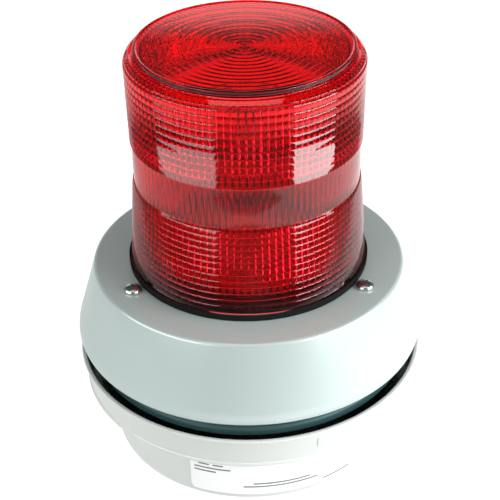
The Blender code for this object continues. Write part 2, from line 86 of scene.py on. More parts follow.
# the lens: how many ribs, flutes and grooves it has, and how deep they are
FLUTES, FLUTE_DEPTH = 108, 0.75
UPPER_RIBS, LOWER_RIBS = 11, 13
DISC_GROOVES, GROOVE_DEPTH = 13, 0.28
# heights of its zones above its foot
BEAD_TOP = 2.2
LOWER_WALL = (2.3, 44.2)
BAND_LOW, BAND_MIDDLE, BAND_TOP = 45.2, 55.0, 65.0
UPPER_WALL = (65.8, 104.6)
# its flat top: outer radius, radius of the grooved part, and its faces' depths below the rim
DISC_R, GROOVED_R, DISC_FACE, DISC_UNDER = 50.4, 46.4, 0.5, 3.4

# the black collar inside the lens's foot, and how high it stands above that foot
COLLAR_R, COLLAR_TOP = LENS_R - 6.6, 9.0

# walls of the base: a radius, the height where it is measured, and the widening per millimetre of height
CUP_WALL = (70.35, 6.3, 0.7 / 28.5)
FLANGE_WALL = (83.5, 37.9, 0.13)

# the label: start and end angle, rounding of its corners, and how far it reaches below its CAD node
LABEL_START, LABEL_END, LABEL_CORNER, LABEL_DROP = -115, -44, 2.2, 3.0
# plain rules on the label: start and end angle, height of the lower edge
LABEL_RULES = (
    (-111.6, -107.0, 22.9), (-105.6, -101.4, 22.9), (-113.3, -98.5, 20.6), (-113.3, -104.3, 18.5),
    (-89.5, -66.5, 12.4), (-93.5, -63.0, 10.5), (-60.5, -47.0, 7.2),
)
RULE_HEIGHT = 0.8

# screw sizes: head radius, head height, shank radius
CANOPY_SCREW = (4.25, 2.7, 2.0)
HORN_SCREW = (2.7, 1.8, 1.5)
BOARD_SCREW = (2.5, 1.6, 1.2)
GROUND_SCREW = (4.0, 2.4, 1.8)
TONE_SCREW = (3.4, 2.2, 1.7)

# the room and its backdrop, which fades out upwards and to the sides: where each fade starts and ends
ROOM = (0.06, 0.075, 0.075, 1.0)
BACKDROP = (1.15, 1.18, 1.17, 1.0)
BACKDROP_TOP, BACKDROP_SIDES, BACKDROP_LEAST = (0.38, 0.402), (0.8, 0.97), 0.1

# the floor's glow: as it is seen, near the object, in front of it, and its gain in reflections
FLOOR_SEEN, FLOOR_NEAR, FLOOR_FAR, FLOOR_GLOSS = 1.0, 0.62, 0.1, 2.0
# places in metres where the glow changes, and its share at the left, at the right and far out
FLOOR_FRONT, FLOOR_SIDES, FLOOR_REACH = (-0.308, -0.285), (-0.3, 0.3), (0.5, 0.65)
GLOW_LEFT, GLOW_RIGHT, GLOW_OUTSIDE = 0.4, 1.0, 0.15

# area lights: place, width and height, watts; all of them aim at the lens's foot
LIGHT_AIM = Vector((0, 0, 0.12))
LIGHTS = {
    "softbox_left": ((-0.64, -0.40, 0.38), (0.92, 0.46), 5.2),
    "softbox_right": ((0.70, -0.34, 0.38), (0.66, 0.46), 10.5),
    "overhead": ((0.0, -0.40, 1.1), (0.9, 0.4), 1.9),
}

# the camera, solved from the circles of the object
CAMERA_AT = Vector((0.0008, -0.539, 0.451))
CAMERA_PITCH, CAMERA_ROLL = 32.9, -1.0
CAMERA_LENS = 93.6


# ---------------------------------------------------------------- shapes


def around(radius, turn, z):
    """The point at an angle on a horizontal circle."""
    return Vector((radius * math.cos(turn), radius * math.sin(turn), z))


def rounded(points):
    """Turns (r, z, corner radius) points into a profile whose corners are arcs."""
    profile = []
    count = len(points)
    for i, point in enumerate(points):
        r, z = point[:2]
        radius = point[2] if len(point) > 2 else 0.0
        if radius <= 0 or i in (0, count - 1):
            profile.append((r, z))
            continue
        here = Vector((r, z))
        back = Vector(points[i - 1][:2]) - here
        on = Vector(points[i + 1][:2]) - here
        reach_limit = 0.49 * min(back.length, on.length)
        back.normalize()
        on.normalize()
        half = back.angle(on) / 2
        reach = min(radius / math.tan(half), reach_limit)
        radius = reach * math.tan(half)
        centre = here + (back + on).normalized() * (radius / math.sin(half))
        start, end = here + back * reach - centre, here + on * reach - centre
        steps = max(2, min(10, int(math.degrees(start.angle(end)) / 11) + 1))
        sweep = start.angle_signed(end)
        for k in range(steps + 1):
            arm = start.copy()
            arm.rotate(Matrix.Rotation(-sweep * k / steps, 2))
            profile.append(tuple(centre + arm))
    return profile


def turned(profile, segments=ROUND, closed=True):
    """A turning of the (r, z) profile round Z, in metres."""
    bm = bmesh.new()
    rings = []
    for r, z in profile:
        if r < 1e-5:
            rings.append([bm.verts.new((0, 0, z * MM))])
        else:
            turns = [2 * math.pi * i / segments for i in range(segments)]
            rings.append([bm.verts.new(around(r * MM, turn, z * MM)) for turn in turns])
    pairs = list(zip(rings, rings[1:]))
    if closed:
        pairs.append((rings[-1], rings[0]))
    for low, high in pairs:
        if len(low) == 1 and len(high) == 1:
            continue
        for i in range(segments):
            j = (i + 1) % segments
            corners = [low[i % len(low)], low[j % len(low)], high[j % len(high)], high[i % len(high)]]
            bm.faces.new(list(dict.fromkeys(corners)))
    return bm


def swept(path, radius, sides=16):
    """A round wire along points in metres, closed at both ends."""
    bm = bmesh.new()
    points = [Vector(p) for p in path]
    ways = [(b - a).normalized() for a, b in zip(points, points[1:])]
    side = ways[0].orthogonal().normalized()
    turns = [2 * math.pi * k / sides for k in range(sides)]
    loops = []
    for i, point in enumerate(points):
        way = (ways[max(i - 1, 0)] + ways[min(i, len(ways) - 1)]).normalized()
        side = (side - way * side.dot(way)).normalized()
        across = way.cross(side)
        rim = [point + radius * (side * math.cos(turn) + across * math.sin(turn)) for turn in turns]
        loops.append([bm.verts.new(corner) for corner in rim])
    for a, b in zip(loops, loops[1:]):
        for k in range(sides):
            m = (k + 1) % sides
            bm.faces.new((a[k], a[m], b[m], b[k]))
    bm.faces.new(loops[0])
    bm.faces.new(loops[-1])
    return bm


def add(name, bm, mat, body="base", instead_of=(), at=None, sharp=40):
    """Links the mesh as a piece of the object, riding on a body in place of CAD nodes."""
    bmesh.ops.recalc_face_normals(bm, faces=bm.faces)
    mesh = bpy.data.meshes.new(name)
    bm.to_mesh(mesh)
    bm.free()
    mesh.polygons.foreach_set("use_smooth", [True] * len(mesh.polygons))
    mesh.set_sharp_from_angle(angle=math.radians(sharp))
    mesh.materials.append(mat)
    ob = bpy.data.objects.new(name, mesh)
    if at is not None:
        ob.location = at
    bpy.context.scene.collection.objects.link(ob)
    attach(ob, body)
    if instead_of:
        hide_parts(*([instead_of] if isinstance(instead_of, str) else instead_of))
    return ob


# ---------------------------------------------------------------- materials


def map_range(tree, source, low, high, start=0.0, end=1.0, smooth=False):
    """A value's range from start to end, mapped onto low to high and held there beyond them."""
    node = tree.nodes.new("ShaderNodeMapRange")
    node.interpolation_type = "SMOOTHSTEP" if smooth else "LINEAR"
    node.inputs["From Min"].default_value, node.inputs["From Max"].default_value = start, end
    node.inputs["To Min"].default_value, node.inputs["To Max"].default_value = low, high
    tree.links.new(source, node.inputs["Value"])
    return node.outputs["Result"]


def math_node(tree, operation, *sources):
    node = tree.nodes.new("ShaderNodeMath")
    node.operation = operation
    for socket, source in zip(node.inputs, sources):
        tree.links.new(source, socket)
    return node.outputs["Value"]


class Look:
    """A Principled material with helpers to wire procedural detail into it."""

    def __init__(self, name, colour, metallic=0.0, roughness=0.5, **sockets):
        self.mat = bpy.data.materials.new(name)
        self.mat.use_nodes = True
        self.tree = self.mat.node_tree
        self.nodes, self.links = self.tree.nodes, self.tree.links
        self.shader = self.nodes["Principled BSDF"]
        self.shader.inputs["Base Color"].default_value = (*colour, 1.0)
        self.shader.inputs["Metallic"].default_value = metallic
        self.shader.inputs["Roughness"].default_value = roughness
        self.mat.diffuse_color = (*colour, 1.0)
        for socket, value in sockets.items():
            self.shader.inputs[socket.replace("_", " ")].default_value = value
        self.place = self.nodes.new("ShaderNodeTexCoord")

    def noise(self, scale, detail=3.0, stretch=(1, 1, 1)):
        mapping = self.nodes.new("ShaderNodeMapping")
        mapping.inputs["Scale"].default_value = stretch
        self.links.new(self.place.outputs["Object"], mapping.inputs["Vector"])
        noise = self.nodes.new("ShaderNodeTexNoise")
        noise.inputs["Scale"].default_value = scale
        noise.inputs["Detail"].default_value = detail
        self.links.new(mapping.outputs["Vector"], noise.inputs["Vector"])
        return noise.outputs["Fac"]

    def bands(self, scale, direction, distortion=0.0):
        wave = self.nodes.new("ShaderNodeTexWave")
        wave.bands_direction = direction
        wave.inputs["Scale"].default_value = scale
        wave.inputs["Distortion"].default_value = distortion
        self.links.new(self.place.outputs["Object"], wave.inputs["Vector"])
        return wave.outputs["Fac"]

    def vary_roughness(self, source, low, high):
        self.links.new(map_range(self.tree, source, low, high), self.shader.inputs["Roughness"])
        return self

    def vary_colour(self, source, dark, light):
        ramp = self.nodes.new("ShaderNodeValToRGB")
        ramp.color_ramp.elements[0].color = (*dark, 1.0)
        ramp.color_ramp.elements[1].color = (*light, 1.0)
        ramp.color_ramp.elements[0].position = 0.3
        ramp.color_ramp.elements[1].position = 0.7
        self.links.new(source, ramp.inputs["Fac"])
        self.links.new(ramp.outputs["Color"], self.shader.inputs["Base Color"])
        return self

    def bump(self, source, depth, strength=1.0):
        bump = self.nodes.new("ShaderNodeBump")
        bump.inputs["Distance"].default_value = depth
        bump.inputs["Strength"].default_value = strength
        self.links.new(source, bump.inputs["Height"])
        self.links.new(bump.outputs["Normal"], self.shader.inputs["Normal"])
        return self


def shade(colour, factor):
    return tuple(min(1.0, c * factor) for c in colour)


def enamel(name, colour, roughness, metallic=0.0):
    """Sprayed enamel: fine orange peel, and a slight unevenness of gloss and tone."""
    look = Look(name, colour, metallic, roughness, Coat_Weight=0.35, Coat_Roughness=0.12)
    look.vary_roughness(look.noise(60, 4), roughness * 0.85, roughness * 1.15)
    look.vary_colour(look.noise(14, 3), shade(colour, 0.975), shade(colour, 1.02))
    return look.bump(look.noise(900, 2), 0.00002, 0.35).mat


def metal(name, colour, roughness):
    """Bare or plated metal, a little uneven in gloss and tone."""
    look = Look(name, colour, 1.0, roughness)
    look.vary_roughness(look.noise(300, 4), roughness * 0.7, roughness * 1.4)
    look.vary_colour(look.noise(80, 3), shade(colour, 0.9), shade(colour, 1.05))
    return look.bump(look.noise(1500, 2), 0.00001, 0.3).mat


def plastic(name, colour, roughness, grain=1200, depth=0.00002):
    """Moulded plastic with a fine grain."""
    look = Look(name, colour, 0.0, roughness)
    look.vary_roughness(look.noise(120, 3), roughness * 0.85, roughness * 1.15)
    return look.bump(look.noise(grain, 2), depth, 0.4).mat


def lens_red():
    """Clear red polycarbonate."""
    look = Look("lens_red", (0.94, 0.006, 0.02), 0.0, 0.05, Transmission_Weight=1.0, IOR=1.5)
    return look.vary_roughness(look.noise(40, 3), 0.02, 0.05).mat


def quartz():
    look = Look("quartz", (0.96, 0.98, 1.0), 0.0, 0.02, Transmission_Weight=1.0, IOR=1.46)
    return look.vary_roughness(look.noise(80, 2), 0.01, 0.04).mat


def make_materials():
    # dark is the flare's colour and is painted shade: this near-black teal is the tone of the shaded band
    # under the canopy's lip, where dark surroundings are reflected, not the shell's own paint
    white, grey, dark = (0.62, 0.645, 0.62), (0.50, 0.585, 0.565), (0.04, 0.1, 0.103)
    looks = {
        "white_enamel": enamel("white_enamel", white, 0.36),
        "grey_enamel": enamel("grey_enamel", grey, 0.33, 0.25),
        "flare_enamel": enamel("flare_enamel", dark, 0.22, 0.4),
        "label_film": plastic("label_film", (0.9, 0.91, 0.9), 0.35, 700, 0.00001),
        "label_print": plastic("label_print", (0.16, 0.17, 0.17), 0.5, 700, 0.00001),
        "zinc_steel": metal("zinc_steel", (0.60, 0.61, 0.60), 0.28),
        "diaphragm_steel": metal("diaphragm_steel", (0.68, 0.68, 0.68), 0.2),
        "soft_iron": metal("soft_iron", (0.28, 0.28, 0.29), 0.45),
        "brass": metal("brass", (0.78, 0.56, 0.22), 0.25),
        "spring_bronze": metal("spring_bronze", (0.75, 0.46, 0.2), 0.28),
        "phenolic": plastic("phenolic", (0.2, 0.09, 0.045), 0.4, 500, 0.00003),
        "black_plastic": plastic("black_plastic", (0.015, 0.015, 0.017), 0.42),
        "capacitor_sleeve": plastic("capacitor_sleeve", (0.03, 0.05, 0.18), 0.3, 300, 0.00001),
        "transformer_varnish": plastic("transformer_varnish", (0.3, 0.21, 0.09), 0.4, 250, 0.0001),
        "coil_epoxy": plastic("coil_epoxy", (0.62, 0.5, 0.08), 0.3, 250, 0.0001),
        "terminal_green": plastic("terminal_green", (0.05, 0.33, 0.14), 0.4),
        "vacuum_metal": metal("vacuum_metal", (0.86, 0.86, 0.87), 0.5),
        "steatite": plastic("steatite", (0.84, 0.82, 0.75), 0.5, 900, 0.00006),
        "nylon": plastic("nylon", (0.74, 0.72, 0.65), 0.45),
        "green_screw": metal("green_screw", (0.05, 0.3, 0.08), 0.35),
        "lead_line_sleeve": plastic("lead_line_sleeve", (0.55, 0.02, 0.02), 0.4),
        "lead_neutral_sleeve": plastic("lead_neutral_sleeve", (0.02, 0.02, 0.02), 0.4),
        "red_polycarbonate": lens_red(),
        "quartz_glass": quartz(),
    }
    rubber = Look("black_rubber", (0.004, 0.006, 0.006), 0.0, 0.85, Specular_IOR_Level=0.15)
    looks["black_rubber"] = rubber.bump(rubber.noise(1600), 0.00004).mat
    iron = Look("laminations", (0.2, 0.2, 0.21), 1.0, 0.5)
    iron.vary_roughness(iron.noise(200), 0.4, 0.6)
    looks["laminations"] = iron.bump(iron.bands(650, "Y"), 0.00012, 0.8).mat
    wire = Look("copper_winding", (0.55, 0.2, 0.08), 0.85, 0.35)
    wire.vary_colour(wire.noise(120), (0.42, 0.14, 0.06), (0.62, 0.25, 0.1))
    looks["copper_winding"] = wire.bump(wire.bands(900, "Z", 0.6), 0.0003).mat
    resist = Look("fibreglass", (0.03, 0.2, 0.07), 0.0, 0.35)
    resist.vary_colour(resist.noise(260, 1, (1, 4, 1)), (0.02, 0.14, 0.05), (0.06, 0.26, 0.1))
    looks["fibreglass"] = resist.bump(resist.noise(260, 1, (1, 4, 1)), 0.00008).mat
    return looks


LOOKS = make_materials()


# ---------------------------------------------------------------- the lens


def rib_wall(low, high, ribs, stretches):
    """A wall of horizontal ribs between two (r, z) points.

    Going up a rib, the surface leans back by the angle that stretches gives for each part of its height,
    as (share of the height where the part ends, degrees) pairs.
    """
    rib_share = 0.995  # of the pitch, so that two ribs never share a point
    points = []
    pitch = (high[1] - low[1]) / ribs
    for rib in range(ribs):
        r, reached = 0.0, 0.0
        shape = [(r, 0.0)]
        for end, lean in stretches(rib / (ribs - 1)):
            r -= (end - reached) * pitch * math.tan(math.radians(lean))
            reached = end
            shape.append((r, reached * pitch))
        widest = max(r for r, z in shape)
        z0 = low[1] + pitch * rib
        for r, z in shape:
            envelope = low[0] + (high[0] - low[0]) * (z0 + z - low[1]) / (high[1] - low[1])
            points.append((envelope + r - widest, z0 + z * rib_share))
    return points


def upper_stretches(share):
    """Prisms above the lamp lean back, the lower ones most, and each curls over at its top."""
    foot = 20 - 30 * max(0.0, share - 0.3)
    curl = [(end, foot + (24 - foot) * end**3) for end in (0.2, 0.4, 0.55, 0.7, 0.8)]
    return [(0.03, -60), (0.08, foot)] + curl + [(0.86, 30), (0.93, 46), (1.0, 64)]


def lower_stretches(share):
    """Prisms below the lamp are steeper and end in a rounded nose."""
    foot = 11 + 2 * share
    curl = [(end, foot + (17 - foot) * end**3) for end in (0.3, 0.5, 0.65, 0.78)]
    return [(0.04, -60), (0.1, foot)] + curl + [(0.85, 18), (0.9, 24), (0.94, 32), (0.97, 50), (1.0, 70)]


def lens_outside():
    """The outer profile from the foot up to the centre of the top."""
    foot, top, r = LENS_LOW, LENS_TOP, LENS_R
    bead = [(r - 0.3, foot), (r, foot + 0.3, 0.2), (r, foot + 1.6, 0.4), (r - 0.7, foot + BEAD_TOP)]
    lower = rib_wall(
        (r - 0.7, foot + LOWER_WALL[0]), (r - 3.4, foot + LOWER_WALL[1]), LOWER_RIBS, lower_stretches,
    )
    band = [
        (r - 3.8, foot + BAND_LOW - 0.6), (r - 4.35, foot + BAND_LOW, 0.3),
        (r - 4.1, foot + BAND_MIDDLE, 400), (r - 4.35, foot + BAND_TOP, 0.3),
        (r - 4.0, foot + BAND_TOP + 0.6),
    ]
    upper = rib_wall(
        (r - 3.4, foot + UPPER_WALL[0]), (r - 2.6, foot + UPPER_WALL[1]), UPPER_RIBS, upper_stretches,
    )
    disc, face = DISC_R, top - DISC_FACE
    shoulder = [
        (r - 3.3, foot + 104.7), (r - 3.4, foot + 105.6, 0.5), (disc + 2.2, top - 3.0, 0.5),
        (disc + 0.6, top - 3.4, 0.4), (disc, top - 2.9, 0.3), (disc, top - 0.35, 0.25),
        (disc - 0.5, top, 0.2), (disc - 1.2, top, 0.3), (disc - 1.8, face, 0.2), (disc - 2.2, face),
    ]
    flat = [(disc - 2.4, face), (24.0, face), (0.0, face)]
    return rounded(bead) + lower + rounded(band) + upper + rounded(shoulder) + flat


def lens_inside():
    """The inner profile from the centre of the top down to the foot: r, z and share of the flutes' depth."""
    foot, r, under = LENS_LOW, LENS_R, LENS_TOP - DISC_UNDER
    pitch = GROOVED_R / DISC_GROOVES
    groove = ((0.0, 0.0), (0.05, 0.06), (0.45, 0.94), (0.5, 1.0), (0.55, 0.94), (0.95, 0.06))
    dome = []
    for k in range(DISC_GROOVES):
        dome += [(pitch * (k + share), under - GROOVE_DEPTH * depth, 0) for share, depth in groove]
    dome += [(GROOVED_R, under, 0), (GROOVED_R + 1.1, under - 1.0, 0)]
    wall = [
        (r - 6.4, foot + 104, 1.2), (r - 6.4, foot + 84, 1.2), (r - 6.9, foot + 66, 1.2),
        (r - 7.4, foot + 63, 0.5), (r - 7.4, foot + 47, 0.5), (r - 6.5, foot + 43, 1),
        (r - 5.2, foot + 24, 1), (r - 4.0, foot + 5, 1), (r - 3.6, foot + 3.5, 0), (r - 3.2, foot, 0),
    ]
    return dome + wall


def build_lens():
    """One closed shell: ribs run round the outside, and flutes run down the inside."""
    per_flute = 6
    fine = FLUTES * per_flute
    coarse = fine // 2
    bm = bmesh.new()

    def loop(r, z, count, flute=0.0):
        if r < 1e-5:
            return [bm.verts.new((0, 0, z * MM))]
        ring = []
        for i in range(count):
            turn = 2 * math.pi * i / count
            fluted = r - flute * abs(math.sin(turn * FLUTES / 2))
            ring.append(bm.verts.new(around(fluted * MM, turn, z * MM)))
        return ring

    def bridge(a, b):
        count = max(len(a), len(b))
        for i in range(count):
            j = (i + 1) % count
            corners = [a[i % len(a)], a[j % len(a)], b[j % len(b)], b[i % len(b)]]
            bm.faces.new(list(dict.fromkeys(corners)))

    outside = [loop(r, z, coarse) for r, z in lens_outside()]
    inside = [loop(r, z, fine, FLUTE_DEPTH * share) for r, z, share in lens_inside()]
    for low, high in zip(outside, outside[1:]):
        bridge(low, high)
    for high, low in zip(inside, inside[1:]):
        bridge(high, low)
    rim, bore = outside[0], inside[-1]
    for i in range(coarse):
        j = (i + 1) % coarse
        bm.faces.new((rim[i], rim[j], bore[(2 * i + 2) % fine], bore[2 * i + 1], bore[2 * i]))
    add("lens_shell", bm, LOOKS["red_polycarbonate"], "lens", "lens", sharp=50)


def build_lens_gasket():
    """The seal: a lip stands up outside the lens's foot, and a lined collar inside it."""
    lip_r, lip_top, groove_r = LENS_R + 0.6, LENS_LOW + 2.2, LENS_R + 0.25
    collar_out, collar_top = GASKET_R - 4.4, LENS_LOW + COLLAR_TOP
    profile = rounded([
        (COLLAR_R, GASKET_LOW), (lip_r - 0.1, GASKET_LOW, 0.1), (lip_r, lip_top - 0.2, 0.2),
        (lip_r - 0.2, lip_top, 0.1), (groove_r, lip_top - 0.15), (groove_r, GASKET_TOP, 0.05),
        (collar_out, GASKET_TOP), (collar_out - 0.2, collar_top, 0.2), (COLLAR_R, collar_top, 0.2),
    ])
    add("lens_seal", turned(profile), LOOKS["black_rubber"], "base", "lens_gasket")
    liner_in, liner_out = COLLAR_R - 0.5, COLLAR_R - 0.15
    liner_low, liner_top = LENS_LOW + 1.2, collar_top - 0.1
    liner = [(liner_in, liner_low), (liner_out, liner_low), (liner_out, liner_top), (liner_in, liner_top)]
    add("collar_liner", turned(liner), LOOKS["vacuum_metal"], "base", ())


# ---------------------------------------------------------------- canopy, flare and base


def build_canopy():
    """The canopy's shell, with a boss under each of its screws."""
    top, lip, widest = CANOPY_TOP, CANOPY_LIP, CANOPY_R
    bore, under = 46.5, top - 3
    profile = rounded([
        (bore, under), (bore, top, 0.4), (75.9, top, 2.0), (80.9, top - 17, 60),
        (widest - 0.5, lip + 6.6, 8), (widest, lip + 3.2, 3), (widest - 0.7, lip + 0.9, 1.2),
        (widest - 1.5, lip, 0.35), (widest - 2.5, lip + 0.2, 0.3), (widest - 2.7, lip + 3.6, 2),
        (78.3, top - 17.5, 30), (73.3, under, 1.2), (bore, under),
    ])
    add("canopy_shell", turned(profile), LOOKS["grey_enamel"], "base", "canopy")
    boss_r, boss_bore, foot, root = 4.6, 2.3, FLARE_TOP + 0.6, top - 2.6
    boss = [
        (boss_bore, foot), (boss_r - 0.4, foot), (boss_r, foot + 0.4), (boss_r + 0.4, root - 0.8),
        (boss_r + 1.4, root), (boss_bore, root),
    ]
    for i in range(1, 4):
        low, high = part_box(f"canopy_screw_{i}")
        centre = (low + high) / 2
        add(f"canopy_boss_{i}", turned(boss, 40), LOOKS["grey_enamel"], "base", (),
            at=(centre.x, centre.y, 0))


def build_flare():
    """A dished sheet that ends in a rolled bead."""
    r, low, top = FLARE_R - 0.1, FLARE_LOW, FLARE_TOP
    outer = [(0.0, top), (69.5, top, 5), (75.6, top - 1.2, 3), (r - 0.9, top - 4.6, 4)]
    outer.append((r - 0.2, low + 2.6, 6))
    bead = [(r, low + 1.5, 0.8), (r - 0.3, low, 0.8), (r - 1.7, low, 0.7), (r - 1.7, low + 1.8, 0.5)]
    inner = [(r - 2.2, top - 4.9, 4), (75.0, top - 2.3, 3), (69.3, top - 1.2, 4), (0.0, top - 1.2)]
    shell = turned(rounded(outer + bead + inner))
    add("flare_shell", shell, LOOKS["flare_enamel"], "base", "horn_flare")


def build_base():
    """The cup with its flange and rim, and a threaded conduit hub in its floor."""
    r, low, top = BASE_R, BASE_LOW, BASE_TOP
    hub, seat_in, seat_out, seat = 10.8, 44.0, 60.0, low + 1.5
    cup, cup_top, lip_r = 71.0, 36.0, BASE_R - 2.0
    outside = [
        (hub, low, 0.4), (seat_in, low, 0.2), (seat_in, seat), (seat_out, seat), (seat_out, low, 0.2),
        (cup - 0.8, low, 5.6), (cup, cup_top - 1.2, 0.8), (r - 2.8, cup_top, 0.6),
        (lip_r, cup_top + 0.1, 0.3), (lip_r, cup_top + 1.5, 0.3), (r - 2.5, cup_top + 2.0, 0.3),
        (r - 0.8, top - 2.4, 0.5), (r - 0.7, top - 1.6, 0.2), (r, top - 1.3, 0.3), (r, top - 0.3, 0.4),
        (r - 0.6, top, 0.4), (r - 1.8, top, 0.4),
    ]
    shelf, floor, hub_top = 39.5, 4.3, 9.0
    inside = [
        (r - 2.3, top - 0.6, 0.4), (r - 4.0, shelf + 1.1, 1.5), (r - 4.8, shelf, 0.8), (67.2, shelf, 0.6),
        (66.0, 8.5, 3), (62.0, floor, 3), (15.0, floor, 1), (15.0, hub_top, 0.5), (hub + 0.6, hub_top, 0.2),
        (hub, 8.4),
    ]
    thread_top, pitch, threads, thread_depth = 8.2, 1.4, 5, 0.55
    thread = []
    for k in range(threads):
        z = thread_top - k * pitch
        thread += [(hub, z), (hub + thread_depth, z - pitch / 2)]
    shell = turned(rounded([(hub + 0.3, low + 0.1)] + outside + inside) + thread)
    add("base_shell", shell, LOOKS["white_enamel"], "base", "base_housing")


def build_mount_gasket():
    r, low, top = node_mm("mount_gasket")
    inner = 44.3
    profile = rounded([
        (inner, low + 0.3), (inner + 0.3, low, 0.2), (r - 0.3, low, 0.2), (r, low + 0.3, 0.2), (r, top, 0.2),
        (inner, top),
    ])
    add("base_seal", turned(profile, 128), LOOKS["black_rubber"], "base", "mount_gasket")


# ---------------------------------------------------------------- label


def wall_strip(wall, start, end, low, high, proud, thick, corner=0.0):
    """A thin plate that follows a tapered wall between two angles in degrees, with rounded corners."""
    wall_r, wall_z, widening = wall
    start, end = math.radians(start), math.radians(end)
    mean_r = wall_r + ((low + high) / 2 - wall_z) * widening
    columns = max(4, int(math.degrees(end - start)))
    bm = bmesh.new()
    rows = []
    for i in range(columns + 1):
        share = i / columns
        turn = start + (end - start) * share
        along = min(share, 1 - share) * (end - start) * mean_r
        inset = corner - math.sqrt(max(0.0, corner**2 - max(0.0, corner - along) ** 2))
        z0, z1 = low + inset, high - inset
        row = []
        for z, out in ((z0, proud), (z0, proud + thick), (z1, proud + thick), (z1, proud)):
            r = wall_r + (z - wall_z) * widening + out
            row.append(bm.verts.new(around(r * MM, turn, z * MM)))
        rows.append(row)
    for one, two in zip(rows, rows[1:]):
        for k in range(4):
            m = (k + 1) % 4
            bm.faces.new((one[k], one[m], two[m], two[k]))
    bm.faces.new(rows[0])
    bm.faces.new(rows[-1])
    return bm


def build_label():
    """A blank plate on the cup, with plain rules where a maker would print."""
    low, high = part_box("blank_label")
    plate = wall_strip(
        CUP_WALL, LABEL_START, LABEL_END, low.z / MM - LABEL_DROP, high.z / MM, 0.12, 0.2, LABEL_CORNER,
    )
    add("label_plate", plate, LOOKS["label_film"], "base", "blank_label", sharp=30)
    for i, (start, end, z) in enumerate(LABEL_RULES, 1):
        rule = wall_strip(CUP_WALL, start, end, z, z + RULE_HEIGHT, 0.3, 0.08)
        add(f"label_rule_{i}", rule, LOOKS["label_print"], "base", (), sharp=30)


def build_flange_mark():
    """A short upright rib cast on the flange."""
    mark = wall_strip(FLANGE_WALL, -68.6, -68.0, 43.5, 48.5, -0.2, 0.55)
    add("flange_rib", mark, LOOKS["white_enamel"], "base", (), sharp=30)


# ---------------------------------------------------------------- screws


def pan_head(radius, height, shank_r, length):
    """A domed head with a rolled edge over a threaded shank, its seat at z = 0."""
    profile = rounded([
        (0.0, height), (radius * 0.55, height * 0.94, radius),
        (radius * 0.9, height * 0.62, radius * 0.5), (radius, height * 0.3, height * 0.2),
        (radius * 0.97, 0.0, height * 0.06), (shank_r, 0.0),
    ])
    pitch = shank_r * 0.35
    turns = int(length / pitch) - 2
    for k in range(turns):
        z = -pitch * (k + 1)
        profile += [(shank_r * 0.86, z), (shank_r, z - pitch / 2)]
    profile += [(shank_r * 0.8, -length + pitch * 0.5), (shank_r * 0.5, -length), (0.0, -length)]
    return turned(profile, 48, closed=False)


def cross_cutter(radius, height):
    """Phillips recess with a longer straight slot across it."""
    bm = bmesh.new()
    slots = ((0.62, 0.13, 0.72), (0.13, 0.62, 0.72), (0.86, 0.09, 0.38))  # half length, half width, depth
    for along, across, deep in slots:
        sizes = [(along, across, height * 1.3), (along * 0.72, across * 0.8, height * (1 - deep))]
        loops = []
        for a, c, z in sizes:
            corners = ((-a, -c), (a, -c), (a, c), (-a, c))
            loops.append([bm.verts.new((x * radius * MM, y * radius * MM, z * MM)) for x, y in corners])
        bm.faces.new(loops[0])
        bm.faces.new(list(reversed(loops[1])))
        for k in range(4):
            m = (k + 1) % 4
            bm.faces.new((loops[0][k], loops[1][k], loops[1][m], loops[0][m]))
    bmesh.ops.recalc_face_normals(bm, faces=bm.faces)
    return bm


def cut_recess(ob, radius, height):
    """Cuts the recess into a screw's head and keeps the result as its mesh."""
    mesh = bpy.data.meshes.new(ob.name + "_recess")
    bm = cross_cutter(radius, height)
    bm.to_mesh(mesh)
    bm.free()
    tool = bpy.data.objects.new(ob.name + "_recess", mesh)
    bpy.context.scene.collection.objects.link(tool)
    modifier = ob.modifiers.new("Recess", "BOOLEAN")
    modifier.object, modifier.operation, modifier.solver = tool, "DIFFERENCE", "EXACT"
    modifier.use_self = True
    bpy.context.view_layer.update()
    recessed = bpy.data.meshes.new_from_object(ob.evaluated_get(bpy.context.evaluated_depsgraph_get()))
    ob.modifiers.clear()
    ob.data = recessed
    bpy.data.objects.remove(tool)


def build_screw(node, shown, size, turn, material, flip=False, body="base"):
    """A screw in place of its CAD node, standing where that node's box stands."""
    radius, height, shank_r = size
    low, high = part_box(node)
    length = (high.z - low.z) / MM - height
    head = pan_head(radius, height, shank_r, length)
    ob = add(shown, head, LOOKS[material], body, node, sharp=35)
    cut_recess(ob, radius, height)
    seat = low.z + height * MM if flip else high.z - height * MM
    centre = (low + high) / 2
    place = Matrix.Translation((centre.x, centre.y, seat)) @ Matrix.Rotation(math.radians(turn), 4, "Z")
    if flip:
        place = place @ Matrix.Rotation(math.pi, 4, "X")
    ob.data.transform(place)


def build_screws():
    for i, turn in enumerate((20, -35, 60), 1):
        build_screw(f"canopy_screw_{i}", f"canopy_fixing_{i}", CANOPY_SCREW, turn, "zinc_steel")
    for i in range(1, 5):
        build_screw(f"clamp_screw_{i}", f"clamp_fixing_{i}", HORN_SCREW, 37 * i, "zinc_steel")
    for i in range(1, 3):
        shown = f"bracket_fixing_{i}"
        build_screw(f"bracket_screw_{i}", shown, HORN_SCREW, 50 * i, "zinc_steel", flip=True)
    for i in range(1, 4):
        build_screw(f"board_screw_{i}", f"board_fixing_{i}", BOARD_SCREW, 41 * i, "zinc_steel")
    build_screw("ground_screw", "ground_fixing", GROUND_SCREW, 15, "green_screw")
    build_screw("adjust_screw", "tone_screw", TONE_SCREW, 25, "brass", flip=True, body="adjuster")


# ---------------------------------------------------------------- inside the lens


